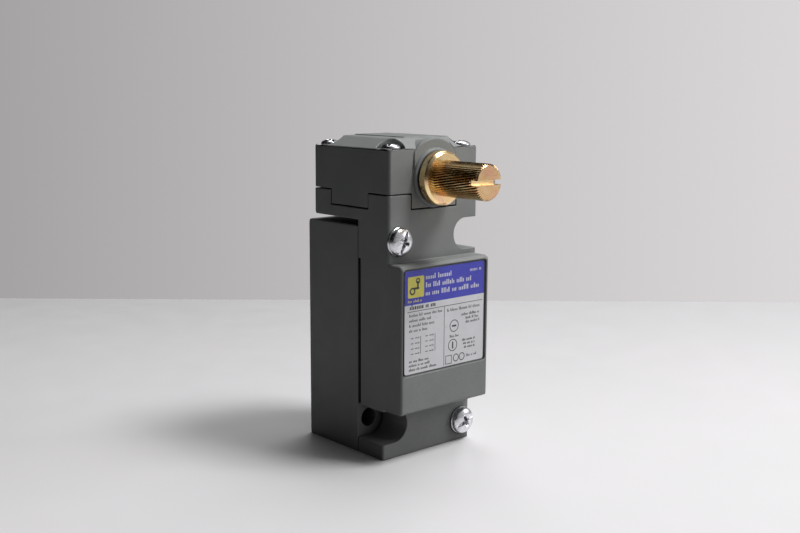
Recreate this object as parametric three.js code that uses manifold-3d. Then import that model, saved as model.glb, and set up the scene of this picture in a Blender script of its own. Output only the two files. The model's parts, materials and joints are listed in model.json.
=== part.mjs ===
// Heavy-duty plug-in limit switch: wiring receptacle, plug-in switch body and rotary operating head.
// Units are millimetres. +Z is up, the shaft points to -Y, and +X is to the right seen from the front.
// The origin is under the middle of the whole switch, on the plane that it stands on.

import * as THREE from "three";
import { mergeVertices } from "three/addons/utils/BufferGeometryUtils.js";
import Module from "manifold-3d";

const wasm = await Module();
wasm.setup();

// ---- driving dimensions ----
const bodyHalfWidth = 20;
const backY = 34; // mounting face
const jointY = 7.05; // front face of the receptacle
const jointGap = 0.3;
const footFrontY = -6.3;
const coverFrontY = -15.3;
const neckFrontY = -8.8;
const headBackY = 30.5;
const shaftEndY = -34;

const receptacleTop = 78.4;
const coverBottom = 17.5;
const coverTop = 67.2;
const flangeBottom = 80.4;
const deckTop = 84.2; // top of the body under the head's tongues
const postTop = 89.3;
const headTongueBottom = 84.6;
const headShoulder = 89.65;
const headCorner = 104.2;
const headPlateau = 107.4;
const padHeight = 0.3;
const shaftZ = 94.4;

const headHalfWidth = 19.75;
const tongueHalfWidth = 10;
const sideTongueFront = 1.9;
const sideTongueBack = 21.4;
const seam = 0.3;

const eccentricThrow = 2.0;
const eccentricRadius = 5.5;
const journalRadius = 5.5;
const rearJournalRadius = 3.3;
const knurlRadius = 5.95;
const collarRadius = 9.0;
const collarBackY = -11.0;
const collarFrontY = -14.5;

const rodY = -1.1; // axis of the push rod
const rodRadius = 2.0;
const mountingHoles = [[-15, 11.3], [15, 74.5]]; // x, z
const scallop = { offset: 3.85, r: 4.6 }; // recess round each head screw, in from the head's sides
const headScrewPlaces = [-1, 1].flatMap((side) =>
  [neckFrontY + scallop.offset, headBackY - scallop.offset].map((y) =>
    [side * (headHalfWidth - scallop.offset), y]));
const captiveScrews = [[-15.9, 74.3, neckFrontY], [15.9, 7.3, footFrontY]]; // x, z, seat
const mountingHoleRadius = 3.2;
const conduitRadius = 10.2;
const conduitY = 20.5;

// ---- materials ----
const material = (color, metalness, roughness) =>
  new THREE.MeshStandardMaterial({ color, metalness, roughness });
const castPaint = material(0x6d716f, 0.1, 0.5);
const goldChromate = material(0xc98b34, 0.9, 0.3);
const zincSteel = material(0xc9ccd2, 0.95, 0.25);
const springSteel = material(0x8f9296, 0.95, 0.35);
const bronze = material(0xa8763a, 0.9, 0.4);
const brass = material(0xc7a24a, 0.9, 0.35);
const contactCopper = material(0xb87a4e, 0.9, 0.35);
const blackRubber = material(0x1c1c1d, 0, 0.8);
const blackPlastic = material(0x26272a, 0, 0.5);
const creamPlastic = material(0xcfc8b4, 0, 0.5);
const labelFilm = material(0xe6e7ea, 0, 0.35);
const greenPaint = material(0x2f7d4a, 0.3, 0.5);

// ---- solids ----
function toSolid(geometry) {
  const bare = geometry.clone();
  bare.deleteAttribute("normal");
  bare.deleteAttribute("uv");
  const merged = mergeVertices(bare, 1e-4);
  const mesh = new wasm.Mesh({
    numProp: 3,
    vertProperties: new Float32Array(merged.attributes.position.array),
    triVerts: new Uint32Array(merged.index.array),
  });
  return new wasm.Manifold(mesh);
}

function toGeometry(solid) {
  const mesh = solid.getMesh();
  const geometry = new THREE.BufferGeometry();
  geometry.setAttribute("position", new THREE.BufferAttribute(new Float32Array(mesh.vertProperties), 3));
  geometry.setIndex(new THREE.BufferAttribute(new Uint32Array(mesh.triVerts), 1));
  geometry.computeVertexNormals();
  return geometry;
}

const join = (...solids) => solids.reduce((sum, solid) => sum.add(solid));
const cut = (base, ...tools) => tools.reduce((rest, tool) => rest.subtract(tool), base);

function box(x0, x1, y0, y1, z0, z1) {
  const geometry = new THREE.BoxGeometry(x1 - x0, y1 - y0, z1 - z0);
  geometry.translate((x0 + x1) / 2, (y0 + y1) / 2, (z0 + z1) / 2);
  return toSolid(geometry);
}

function cylinderY(r, y0, y1, x, z, segments = 24) {
  const geometry = new THREE.CylinderGeometry(r, r, y1 - y0, segments);
  geometry.translate(x, (y0 + y1) / 2, z);
  return toSolid(geometry);
}

function cylinderZ(r, z0, z1, x, y, segments = 24) {
  const geometry = new THREE.CylinderGeometry(r, r, z1 - z0, segments);
  geometry.rotateX(Math.PI / 2);
  geometry.translate(x, y, (z0 + z1) / 2);
  return toSolid(geometry);
}

// Rectangle with round corners; radii run from the lower left corner, anticlockwise.
function roundRectangle(u0, u1, v0, v1, radii) {
  const [a, b, c, d] = Array.isArray(radii) ? radii : [radii, radii, radii, radii];
  const quarter = Math.PI / 2;
  const shape = new THREE.Shape();
  shape.moveTo(u0 + a, v0);
  shape.lineTo(u1 - b, v0);
  if (b > 0) shape.absarc(u1 - b, v0 + b, b, -quarter, 0, false);
  shape.lineTo(u1, v1 - c);
  if (c > 0) shape.absarc(u1 - c, v1 - c, c, 0, quarter, false);
  shape.lineTo(u0 + d, v1);
  if (d > 0) shape.absarc(u0 + d, v1 - d, d, quarter, 2 * quarter, false);
  shape.lineTo(u0, v0 + a);
  if (a > 0) shape.absarc(u0 + a, v0 + a, a, 2 * quarter, 3 * quarter, false);
  return shape;
}

const extrude = (shape, depth, segments) =>
  new THREE.ExtrudeGeometry(shape, { depth, bevelEnabled: false, curveSegments: segments });

// Outline in X and Z, extruded along Y.
function prismY(shape, y0, y1, segments = 3) {
  const geometry = extrude(shape, y1 - y0, segments);
  geometry.rotateX(Math.PI / 2);
  geometry.translate(0, y1, 0);
  return toSolid(geometry);
}

// Outline in X and Y, extruded along Z.
function prismZ(shape, z0, z1, segments = 3) {
  const geometry = extrude(shape, z1 - z0, segments);
  geometry.translate(0, 0, z0);
  return toSolid(geometry);
}

// Outline in Y and Z, extruded along X.
function prismX(shape, x0, x1, segments = 3) {
  const geometry = extrude(shape, x1 - x0, segments);
  geometry.rotateX(Math.PI / 2);
  geometry.rotateZ(Math.PI / 2);
  geometry.translate(x0, 0, 0);
  return toSolid(geometry);
}

// Solid of revolution about an axis along Y: profile points are [radius, y], in the order of rising y.
function turnedY(profile, x, z, segments = 32) {
  const points = profile.map(([r, y]) => new THREE.Vector2(r, y));
  const geometry = new THREE.LatheGeometry(points, segments);
  geometry.translate(x, 0, z);
  return toSolid(geometry);
}

class Helix extends THREE.Curve {
  constructor(radius, height, turns) {
    super();
    Object.assign(this, { radius, height, turns });
  }
  getPoint(t, target = new THREE.Vector3()) {
    const angle = 2 * Math.PI * this.turns * t;
    return target.set(this.radius * Math.cos(angle), this.radius * Math.sin(angle), this.height * t);
  }
}

function coilSpring(radius, wire, z0, z1, turns, x, y) {
  const sides = 5;
  const stepsPerTurn = 10;
  const corners = Array.from({ length: sides }, (_, i) => 2 * Math.PI * i / sides);
  const section = new THREE.Shape(
    corners.map((angle) => new THREE.Vector2(wire / 2 * Math.cos(angle), wire / 2 * Math.sin(angle))));
  const path = new Helix(radius, z1 - z0 - wire, turns);
  const geometry = new THREE.ExtrudeGeometry(section, { steps: turns * stepsPerTurn, extrudePath: path });
  geometry.translate(x, y, z0 + wire / 2);
  return toSolid(geometry);
}

const part = new THREE.Group();
function addNode(name, solid, look) {
  const mesh = new THREE.Mesh(toGeometry(solid), look);
  mesh.name = name;
  part.add(mesh);
}

// ---- receptacle: wiring box with conduit entry, screw bosses and through mounting holes ----
const cavityHalfWidth = 16.5;
const cavityBottom = 19;
const cavityTop = 66.5;
const cavityBackY = 31;
const boltBoreDepth = 13;
const groundX = 11;
const groundZ = 23;
{
  const shellOutline = roundRectangle(jointY, backY, 0, receptacleTop, [0, 1.0, 1.8, 0.6]);
  const sideEdges = prismZ(roundRectangle(-bodyHalfWidth, bodyHalfWidth, jointY, backY, [0, 0, 0.5, 0.5]),
    -1, receptacleTop + 1);
  const shell = prismX(shellOutline, -bodyHalfWidth, bodyHalfWidth).intersect(sideEdges);
  const cavity = prismY(
    roundRectangle(-cavityHalfWidth, cavityHalfWidth, cavityBottom, cavityTop, 2), jointY - 1, cavityBackY);
  const conduit = cylinderZ(conduitRadius, -1, cavityBottom + 1, 0, conduitY, 32);
  const gasketGroove = cut(
    prismY(roundRectangle(-18.6, 18.6, 16.8, 68.7, 2.6), jointY - 1, jointY + 1.2),
    prismY(roundRectangle(-17.4, 17.4, 18.0, 67.5, 1.8), jointY - 2, jointY + 2));
  const holes = mountingHoles.map(([x, z]) =>
    cylinderY(mountingHoleRadius, jointY - 1, backY + 1, x, z, 20));
  const taps = captiveScrews.map(([x, z]) => cylinderY(2.4, jointY - 1, jointY + boltBoreDepth, x, z, 14));
  const groundTap = cylinderY(1.7, cavityBackY - 1, cavityBackY + 2, groundX, groundZ, 12);
  addNode("receptacle", cut(shell, cavity, conduit, gasketGroove, ...holes, ...taps, groundTap), castPaint);

  const gasket = cut(
    prismY(roundRectangle(-18.5, 18.5, 16.9, 68.6, 2.5), jointY - 0.2, jointY + 1.1),
    prismY(roundRectangle(-17.5, 17.5, 17.9, 67.6, 1.9), jointY - 1, jointY + 2));
  addNode("body_gasket", gasket, blackRubber);
}

// ---- switch body: foot, cover block, neck, deck and corner posts in one casting ----
const bodyBackY = jointY - jointGap;
const deckBackY = headBackY;
const notch = { x: 14.8, z: 74.5, r: 5.4 };
const relief = { x: -15, z: 11.3, r: 6.1 };
const blockCavity = { halfWidth: 16.8, frontY: -12.3, bottom: 20.5, top: 64.2 };
const labelRecess = { halfWidth: 18.9, bottom: 30.4, top: 66.0, depth: 0.9 };
const rodBoreRadius = 5.2;
const screwClearanceRadius = 5.6;
const headTapRadius = 1.9;
{
  const w = bodyHalfWidth;
  const foot = prismZ(roundRectangle(-w, w, footFrontY, bodyBackY, [0.8, 0.5, 0, 0]), 0, coverBottom + 1);
  const coverPlan = prismZ(roundRectangle(-w, w, coverFrontY, bodyBackY, [1.4, 0.8, 0, 0]),
    coverBottom, coverTop + 1);
  const coverSide = prismX(
    roundRectangle(coverFrontY, bodyBackY, coverBottom, coverTop, [0.9, 0, 0, 1.8]), -w, w);
  const neck = prismZ(
    roundRectangle(-w, w, neckFrontY, bodyBackY, [1.2, 0.6, 0, 0]), coverTop - 1, deckTop);
  const deckSide = prismX(
    roundRectangle(neckFrontY, deckBackY, flangeBottom, postTop, [0, 1.8, 0, 0]), -w, w);
  const deckPlan = prismZ(roundRectangle(-w, w, neckFrontY, deckBackY, [1.2, 0.6, 0.6, 0.6]),
    flangeBottom, postTop);
  const outside = join(foot, coverPlan.intersect(coverSide), neck, deckPlan.intersect(deckSide));

  const tongueSpace = join(
    box(-tongueHalfWidth - seam, tongueHalfWidth + seam,
      neckFrontY - 1, deckBackY + 1, deckTop, postTop + 1),
    box(-w - 1, w + 1, sideTongueFront - seam, sideTongueBack + seam, deckTop, postTop + 1));
  const notchCut = join(
    cylinderY(notch.r, neckFrontY - 1, bodyBackY + 1, notch.x, notch.z, 28),
    box(notch.x, w + 1, neckFrontY - 1, bodyBackY + 1, notch.z - notch.r, notch.z + notch.r));
  const reliefCut = join(
    cylinderY(relief.r, footFrontY - 1, bodyBackY + 1, relief.x, relief.z, 28),
    box(-w - 1, relief.x, footFrontY - 1, bodyBackY + 1, relief.z - relief.r, relief.z + relief.r));
  const cavity = prismY(roundRectangle(-blockCavity.halfWidth, blockCavity.halfWidth,
    blockCavity.bottom, blockCavity.top, 1.5), blockCavity.frontY, bodyBackY + 1);
  const recess = prismY(roundRectangle(-labelRecess.halfWidth, labelRecess.halfWidth,
    labelRecess.bottom, labelRecess.top, 1.2), coverFrontY - 1, coverFrontY + labelRecess.depth);
  const rodBore = join(
    cylinderZ(3.0, blockCavity.top - 1, coverTop, 0, rodY, 16),
    cylinderZ(rodBoreRadius, 66.0, deckTop + 1, 0, rodY));
  const screwHoles = captiveScrews.map(([x, z, seat]) => cylinderY(2.5, seat - 1, bodyBackY + 1, x, z, 14));
  const [upperX, upperZ] = captiveScrews[0];
  const screwClearance = cylinderY(screwClearanceRadius, coverFrontY - 1, neckFrontY, upperX, upperZ, 28);
  const slotDepth = 1.4;
  const slotWidth = 1.2;
  const sideSlots = [-1, 1].map((side) => {
    const slot = prismX(roundRectangle(bodyBackY - slotWidth, bodyBackY + 1, coverBottom, coverTop + 0.3,
      [0.6, 0, 0, 0.6]), 0, slotDepth);
    return slot.translate([side > 0 ? w - slotDepth + 0.001 : -w - 0.001, 0, 0]);
  });
  const headTaps = headScrewPlaces.map(([x, y]) =>
    cylinderZ(headTapRadius, flangeBottom + 1.6, postTop + 1, x, y, 12));
  addNode("switch_body",
    cut(outside, tongueSpace, notchCut, reliefCut, cavity, recess, rodBore, ...screwHoles,
      screwClearance, ...sideSlots, ...headTaps),
    castPaint);
}

// ---- label in its recess ----
{
  const backFace = coverFrontY + labelRecess.depth - 0.08;
  const plate = prismY(roundRectangle(-18.2, 18.2, 31.0, 65.4, 0.9), backFace - 0.3, backFace);
  addNode("name_plate", plate, labelFilm);
}

// ---- operating head ----
const headInner = { halfWidth: 10.2, frontY: -3.9, backY: 21.5, top: 104.2 };
const hubBoreRadius = 8.0;
const hubRadius = 9.75;
const hubFrontY = -10.2;

// Frustum with a rectangular foot and a smaller rectangular top.
function hipRoof(halfWidth, y0, y1, z0, z1, run) {
  const ring = (inset, z) => [
    [-halfWidth + inset, y0 + inset, z], [halfWidth - inset, y0 + inset, z],
    [halfWidth - inset, y1 - inset, z], [-halfWidth + inset, y1 - inset, z]];
  const corners = [...ring(0, z0), ...ring(run, z1)].flat();
  const faces = [[0, 2, 1], [0, 3, 2], [4, 5, 6], [4, 6, 7]];
  for (let i = 0; i < 4; i++) {
    const j = (i + 1) % 4;
    faces.push([i, j, j + 4], [i, j + 4, i + 4]);
  }
  const geometry = new THREE.BufferGeometry();
  geometry.setAttribute("position", new THREE.BufferAttribute(new Float32Array(corners), 3));
  geometry.setIndex(faces.flat());
  return toSolid(geometry);
}

{
  const w = headHalfWidth;
  const plan = prismZ(
    roundRectangle(-w, w, neckFrontY, headBackY, [1.0, 0.6, 0.5, 0.5]), headShoulder, headCorner);
  const frontTongue = box(-tongueHalfWidth, tongueHalfWidth, neckFrontY, headBackY,
    headTongueBottom, headShoulder + 1);
  const sideTongue = box(-w, w, sideTongueFront, sideTongueBack, headTongueBottom, headShoulder + 1);
  const slopeRun = 6.4;
  const roof = hipRoof(w, neckFrontY, headBackY, headCorner - 0.01, headPlateau, slopeRun);
  const pad = box(-7.5, 7.5, neckFrontY + slopeRun + 0.4, headBackY - slopeRun - 0.4,
    headPlateau - 1, headPlateau + padHeight);
  const archRadius = 12.9;
  const arch = cylinderY(archRadius, neckFrontY, 8, 0, shaftZ, 48);
  const archTrim = box(-14, 14, neckFrontY - 1, 9, shaftZ, headPlateau + 1);
  const cheek = cylinderY(archRadius - 0.2, neckFrontY - 0.35, 0, 0, shaftZ, 48)
    .intersect(box(-9.2, 9.2, neckFrontY - 1, 1, shaftZ, headPlateau + 1));
  const hub = turnedY([[0, hubFrontY], [hubRadius - 0.5, hubFrontY], [hubRadius, hubFrontY + 0.5],
    [hubRadius, 0], [0, 0]], 0, shaftZ, 36);
  const outside = join(plan, frontTongue, sideTongue, roof, pad, arch.intersect(archTrim), cheek, hub);

  const cavity = box(-headInner.halfWidth, headInner.halfWidth, headInner.frontY, headInner.backY,
    headTongueBottom - 1, headInner.top);
  const shaftBore = cylinderY(hubBoreRadius, -12, headInner.frontY + 1, 0, shaftZ, 32);
  const rearBore = cylinderY(5.0, headInner.backY - 1, 27.5, 0, shaftZ);
  const scallops = headScrewPlaces.map(([x, y]) =>
    cylinderZ(scallop.r, headCorner - 0.2, headPlateau + 1, x, y, 28));
  const screwHoles = headScrewPlaces.map(([x, y]) =>
    cylinderZ(2.0, headShoulder - 1, headPlateau, x, y, 12));
  addNode("operating_head",
    cut(outside, cavity, shaftBore, rearBore, ...scallops, ...screwHoles), castPaint);

  const gasketBand = (inset, z0, z1) => join(
    box(-tongueHalfWidth + inset, tongueHalfWidth - inset, neckFrontY + inset, headBackY - inset, z0, z1),
    box(-w + inset, w - inset, sideTongueFront + inset, sideTongueBack - inset, z0, z1));
  const opening = box(-9.0, 9.0, -7.0, headInner.backY + 0.4, 80, 90);
  const midLine = (deckTop + headTongueBottom) / 2;
  const opened = cut(gasketBand(0.8, midLine - 0.1, midLine + 0.1), opening);
  addNode("head_gasket", opened, blackRubber);
}

// ---- fasteners ----
// Pan head on a shank, along +Z from its seat: a crowned disc with a cross recess.
function panScrew(headRadius, headHeight, shankRadius, shankLength, slotWidth, segments = 14) {
  const crown = [[0, -shankLength], [shankRadius, -shankLength], [shankRadius, 0], [headRadius, 0],
    [headRadius, headHeight * 0.5], [headRadius * 0.85, headHeight * 0.85], [headRadius * 0.5, headHeight],
    [0, headHeight]];
  const geometry = new THREE.LatheGeometry(crown.map(([r, z]) => new THREE.Vector2(r, z)), segments);
  geometry.rotateX(Math.PI / 2);
  const reach = headRadius * 1.1;
  const depth = headHeight * 0.45;
  const slots = [
    box(-reach, reach, -slotWidth / 2, slotWidth / 2, headHeight - depth, headHeight + 1),
    box(-headRadius * 0.5, headRadius * 0.5, -slotWidth, slotWidth, headHeight - depth, headHeight + 1)];
  return cut(toSolid(geometry), ...slots);
}

headScrewPlaces.forEach(([x, y], i) => {
  const screw = panScrew(3.2, 1.9, 1.7, 20, 0.8);
  addNode(`head_screw_${i + 1}`, screw.translate([x, y, headCorner - 0.15]), zincSteel);
});

["upper", "lower"].forEach((place, i) => {
  const [x, z, seat] = captiveScrews[i];
  const washerThickness = 0.8;
  const washer = cut(cylinderY(4.8, seat - 0.05 - washerThickness, seat - 0.05, x, z),
    cylinderY(2.4, seat - 2, seat + 1, x, z, 14));
  addNode(`captive_washer_${place}`, washer, zincSteel);
  const seatY = seat - 0.1 - washerThickness;
  const screw = panScrew(4.6, 2.6, 2.2, jointY + 11 - seatY, 1.1, 20);
  addNode(`captive_screw_${place}`, screw.rotate([90, 0, 0]).translate([x, seatY, z]), zincSteel);
});

// ---- operating shaft: knurl, collar, journal, eccentric and rear journal in one piece ----
{
  const slotHalf = 0.82;
  const outer = turnedY([
    [0, shaftEndY], [knurlRadius - 0.3, shaftEndY], [knurlRadius, shaftEndY + 0.35],
    [knurlRadius, collarFrontY], [collarRadius - 0.85, collarFrontY], [collarRadius, collarFrontY + 0.85],
    [collarRadius, collarBackY], [journalRadius, collarBackY], [journalRadius, -3.6], [0, -3.6],
  ], 0, shaftZ, 36);
  const eccentric = cylinderY(eccentricRadius, -3.7, 1.3, eccentricThrow, shaftZ, 28);
  const rear = cylinderY(rearJournalRadius, 1, 26.8, 0, shaftZ);
  const slot = box(-8, 8, shaftEndY - 1, shaftEndY + 3, shaftZ - slotHalf, shaftZ + slotHalf);
  addNode("operating_shaft", cut(join(outer, eccentric, rear), slot), goldChromate);

  const ring = (name, rIn, rOut, y0, y1, look) => addNode(name,
    cut(cylinderY(rOut, y0, y1, 0, shaftZ), cylinderY(rIn, y0 - 1, y1 + 1, 0, shaftZ)), look);
  ring("shaft_seal", journalRadius + 0.1, hubBoreRadius - 0.1, -10.6, -9.3, blackRubber);
  ring("front_bushing", journalRadius + 0.05, hubBoreRadius - 0.1, -9.1, -4.2, bronze);
  ring("rear_bushing", rearJournalRadius + 0.05, 4.9, 21.7, 27.2, bronze);
  ring("shaft_spacer", rearJournalRadius + 0.1, 5.0, 1.7, 19.4, springSteel);
  ring("retaining_ring", rearJournalRadius + 0.1, 4.8, 19.7, 20.6, springSteel);
}

// ---- crosshead and push rod ----
const yoke = {
  halfWidth: 9.8, halfHeight: 7.25, slotHalfWidth: 7.8, slotHalfHeight: 5.86, frontY: -3.4, backY: 1.1,
};
const rodCollar = { z0: 74.9, z1: 76.1, r: 4.4 };
{
  const outer = prismY(roundRectangle(-yoke.halfWidth, yoke.halfWidth,
    shaftZ - yoke.halfHeight, shaftZ + yoke.halfHeight, 1.5), yoke.frontY, yoke.backY);
  const window = prismY(roundRectangle(-yoke.slotHalfWidth, yoke.slotHalfWidth,
    shaftZ - yoke.slotHalfHeight, shaftZ + yoke.slotHalfHeight, 0.4), yoke.frontY - 1, yoke.backY + 1);
  addNode("crosshead", cut(outer, window), springSteel);
  const rod = join(
    cylinderZ(rodRadius, 66.0, shaftZ - yoke.halfHeight - 0.2, 0, rodY, 14),
    cylinderZ(rodCollar.r, rodCollar.z0, rodCollar.z1, 0, rodY, 20));
  addNode("push_rod", rod, springSteel);
}

// ---- return springs with their cap and seat in the neck ----
{
  const disc = (z0, z1) => cut(cylinderZ(rodBoreRadius - 0.1, z0, z1, 0, rodY),
    cylinderZ(rodRadius + 0.3, z0 - 1, z1 + 1, 0, rodY, 14));
  addNode("spring_cap", disc(82.5, 84.0), brass);
  addNode("spring_seat", disc(66.1, 67.4), brass);
  addNode("return_spring_lower", coilSpring(3.7, 0.8, 67.6, 74.7, 4, 0, rodY), springSteel);
  addNode("return_spring_upper", coilSpring(3.7, 0.8, 76.3, 82.3, 4, 0, rodY), springSteel);
}

// ---- contact block ----
const bridgeHeights = [50.5, 35.0];
const bridge = {
  halfLength: 12.6, y0: -4.7, y1: -1.6, halfThickness: 0.45, buttonX: 10.6, buttonRadius: 1.3,
};
const bridgeCentreY = (bridge.y0 + bridge.y1) / 2;
const buttonHeight = 0.8;
const buttonRoot = 0.2; // how far a button sinks into its strip
const fixedButtonRadius = 1.2;
const contactGap = 2.4;
const carrier = { halfWidth: 4.4, y0: -6.6, y1: 0.3, bottom: 29.0, top: 58.0 };
const windowAbove = 5.0;
const buttonZ = (radius, zA, zB, side) =>
  cylinderZ(radius, Math.min(zA, zB), Math.max(zA, zB), side * bridge.buttonX, bridgeCentreY, 10);
{
  const housing = cut(
    prismY(roundRectangle(-16.5, 16.5, 20.9, 63.8, 1.2), -11.9, 0.9),
    box(-14.6, 14.6, -10.2, 2, 22.8, 62.0),
    cylinderZ(rodRadius + 0.5, 60, 65, 0, rodY, 14));
  addNode("contact_housing", housing, blackPlastic);

  const block = join(
    box(-carrier.halfWidth, carrier.halfWidth, carrier.y0, carrier.y1, carrier.bottom, carrier.top),
    cylinderZ(rodRadius, carrier.top - 1, 65.8, 0, rodY, 14));
  const windows = bridgeHeights.map((z) => box(-carrier.halfWidth - 1, carrier.halfWidth + 1,
    bridge.y0 - 0.3, bridge.y1 + 0.3, z - bridge.halfThickness - 0.2, z + windowAbove));
  addNode("contact_carrier", cut(block, ...windows), creamPlastic);

  const baseSlots = [];
  bridgeHeights.forEach((z, i) => {
    const way = i === 0 ? 1 : -1; // the upper bridge closes upward, the lower one downward
    const strip = box(-bridge.halfLength, bridge.halfLength, bridge.y0, bridge.y1,
      z - bridge.halfThickness, z + bridge.halfThickness);
    const outFace = z + way * bridge.halfThickness;
    const buttons = [-1, 1].map((side) => buttonZ(bridge.buttonRadius,
      outFace - way * buttonRoot, outFace + way * buttonHeight, side));
    addNode(`contact_bridge_${i + 1}`, join(strip, ...buttons), contactCopper);
    addNode(`contact_spring_${i + 1}`, coilSpring(1.0, 0.4, z + bridge.halfThickness + 0.1,
      z + windowAbove - 0.1, 4, 0, bridgeCentreY), springSteel);

    const fixedFace = outFace + way * (buttonHeight + contactGap);
    const stripFace = fixedFace + way * buttonHeight;
    const stripZ = [stripFace, stripFace + way * 1.0].sort((a, b) => a - b);
    [-1, 1].forEach((side, j) => {
      const xs = [side * 8.9, side * 12.5].sort((a, b) => a - b);
      const blade = join(
        box(xs[0], xs[1], -4.9, 14.5, stripZ[0], stripZ[1]),
        buttonZ(fixedButtonRadius, fixedFace, stripFace + way * buttonRoot, side));
      addNode(`fixed_contact_${2 * i + j + 1}`, blade, contactCopper);
      const slack = 0.15;
      baseSlots.push(box(xs[0] - slack, xs[1] + slack, 0, 8, stripZ[0] - slack, stripZ[1] + slack));

      const slotZ = [stripZ[0] - 0.12, stripZ[1] + 0.12];
      const socket = cut(box(xs[0] - 0.2, xs[1] + 0.2, 9.5, 20.0, stripZ[0] - 0.8, stripZ[1] + 0.8),
        box(xs[0] - 1, xs[1] + 1, 9, 14.8, slotZ[0], slotZ[1]));
      addNode(`socket_${2 * i + j + 1}`, socket, brass);
    });
  });
  addNode("contact_base", cut(prismY(roundRectangle(-16.5, 16.5, 20.9, 63.8, 1.2), 1.1, 6.2), ...baseSlots),
    blackPlastic);
}

// ---- terminal block in the receptacle ----
{
  const blockFrontY = 16;
  const socketHeights = bridgeHeights.map((z, i) => {
    const way = i === 0 ? 1 : -1;
    return z + way * (bridge.halfThickness + 2 * buttonHeight + contactGap + 0.5);
  });
  const block = prismY(roundRectangle(-14.6, 14.6, 27.0, 59.0, 1.2), blockFrontY, cavityBackY - 0.15);
  const pockets = [];
  const screwHoles = [];
  socketHeights.forEach((z, i) => {
    [-1, 1].forEach((side, j) => {
      const xs = [side * 8.7, side * 12.7].sort((a, b) => a - b);
      pockets.push(box(xs[0] - 0.15, xs[1] + 0.15, blockFrontY - 1, 20.2, z - 1.45, z + 1.45));
      screwHoles.push(cylinderY(1.6, blockFrontY - 1, 23, side * 4.4, z, 12));
      const screw = panScrew(2.4, 1.6, 1.4, 6, 0.7, 12);
      addNode(`terminal_screw_${2 * i + j + 1}`,
        screw.rotate([90, 0, 0]).translate([side * 4.4, blockFrontY - 0.1, z]), brass);
    });
  });
  addNode("terminal_block", cut(block, ...pockets, ...screwHoles), blackPlastic);
  const groundScrew = panScrew(2.6, 1.8, 1.5, 1.8, 0.7, 12);
  addNode("ground_screw",
    groundScrew.rotate([90, 0, 0]).translate([groundX, cavityBackY - 0.1, groundZ]), greenPaint);
}

export default part;
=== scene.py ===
import json
import math
import random
import bmesh
import bpy
from mathutils import Matrix, Vector


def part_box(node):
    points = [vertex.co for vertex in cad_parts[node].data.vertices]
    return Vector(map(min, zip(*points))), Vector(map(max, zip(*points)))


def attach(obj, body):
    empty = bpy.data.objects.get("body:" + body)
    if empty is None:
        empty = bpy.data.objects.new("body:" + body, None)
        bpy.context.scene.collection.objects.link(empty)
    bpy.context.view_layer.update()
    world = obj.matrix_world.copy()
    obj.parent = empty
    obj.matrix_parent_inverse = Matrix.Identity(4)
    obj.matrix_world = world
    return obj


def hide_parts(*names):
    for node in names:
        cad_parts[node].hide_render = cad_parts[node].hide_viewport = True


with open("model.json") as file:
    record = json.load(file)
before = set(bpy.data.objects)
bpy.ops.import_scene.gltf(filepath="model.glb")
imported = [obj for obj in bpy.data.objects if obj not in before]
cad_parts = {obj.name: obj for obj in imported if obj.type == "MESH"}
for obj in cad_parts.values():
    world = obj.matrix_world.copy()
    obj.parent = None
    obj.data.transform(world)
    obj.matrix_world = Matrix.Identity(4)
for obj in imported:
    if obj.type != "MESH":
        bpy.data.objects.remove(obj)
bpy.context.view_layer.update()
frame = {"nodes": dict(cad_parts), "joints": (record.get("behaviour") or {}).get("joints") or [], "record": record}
nodes = frame["nodes"]
mm = 0.001  # one millimetre in metres
print("frame loaded:", len(nodes), "nodes")


# The frame's sizes, read in millimetres.
def sides(node):
    low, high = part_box(node)
    names = ("left", "front", "bottom", "right", "back", "top")
    return dict(zip(names, [value / mm for value in (*low, *high)]))


def middle(box):
    return [(box[a] + box[b]) / 2 for a, b in (("left", "right"), ("front", "back"), ("bottom", "top"))]


receptacleBox = sides("receptacle")
bodyBox = sides("switch_body")
headBox = sides("operating_head")
shaftBox = sides("operating_shaft")
plateBox = sides("name_plate")
turnJoint = next(joint for joint in frame["joints"] if joint["name"] == "shaft_turn")
axleZ = turnJoint["pos_m"][2] / mm


# Mesh making, in millimetres.
meshing = {"castSteps": 5, "roofSteps": 4, "weldWithin": 0.0005, "flatAngle": 0.3, "normalWeight": 60}


def toObject(bm, name="blank"):
    bmesh.ops.recalc_face_normals(bm, faces=bm.faces)
    mesh = bpy.data.meshes.new(name)
    bm.to_mesh(mesh)
    bm.free()
    made = bpy.data.objects.new(name, mesh)
    bpy.context.scene.collection.objects.link(made)
    return made


def bakeModifiers(made):
    bpy.context.view_layer.update()
    graph = bpy.context.evaluated_depsgraph_get()
    fresh = bpy.data.meshes.new_from_object(made.evaluated_get(graph), depsgraph=graph)
    stale = made.data
    made.modifiers.clear()
    made.data = fresh
    bpy.data.meshes.remove(stale)
    return made


def arc(u, v, radius, start, end, steps):
    angles = [math.radians(start + (end - start) * i / steps) for i in range(steps + 1)]
    return [(u + radius * math.cos(a), v + radius * math.sin(a)) for a in angles]


# Rectangle with one corner radius, or four from the lower left anticlockwise.
def roundOutline(u0, u1, v0, v1, radii, steps=6):
    a, b, c, d = radii if isinstance(radii, tuple) else (radii,) * 4
    outline = arc(u0 + a, v0 + a, a, 180, 270, steps) if a else [(u0, v0)]
    outline += arc(u1 - b, v0 + b, b, 270, 360, steps) if b else [(u1, v0)]
    outline += arc(u1 - c, v1 - c, c, 0, 90, steps) if c else [(u1, v1)]
    outline += arc(u0 + d, v1 - d, d, 90, 180, steps) if d else [(u0, v1)]
    return outline


def circleOutline(u, v, radius, steps=48):
    return arc(u, v, radius, 0, 360 - 360 / steps, steps - 1)


axisPlaces = {
    "x": lambda u, v, depth: (depth, u, v),
    "y": lambda u, v, depth: (u, depth, v),
    "z": lambda u, v, depth: (u, v, depth),
}


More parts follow.
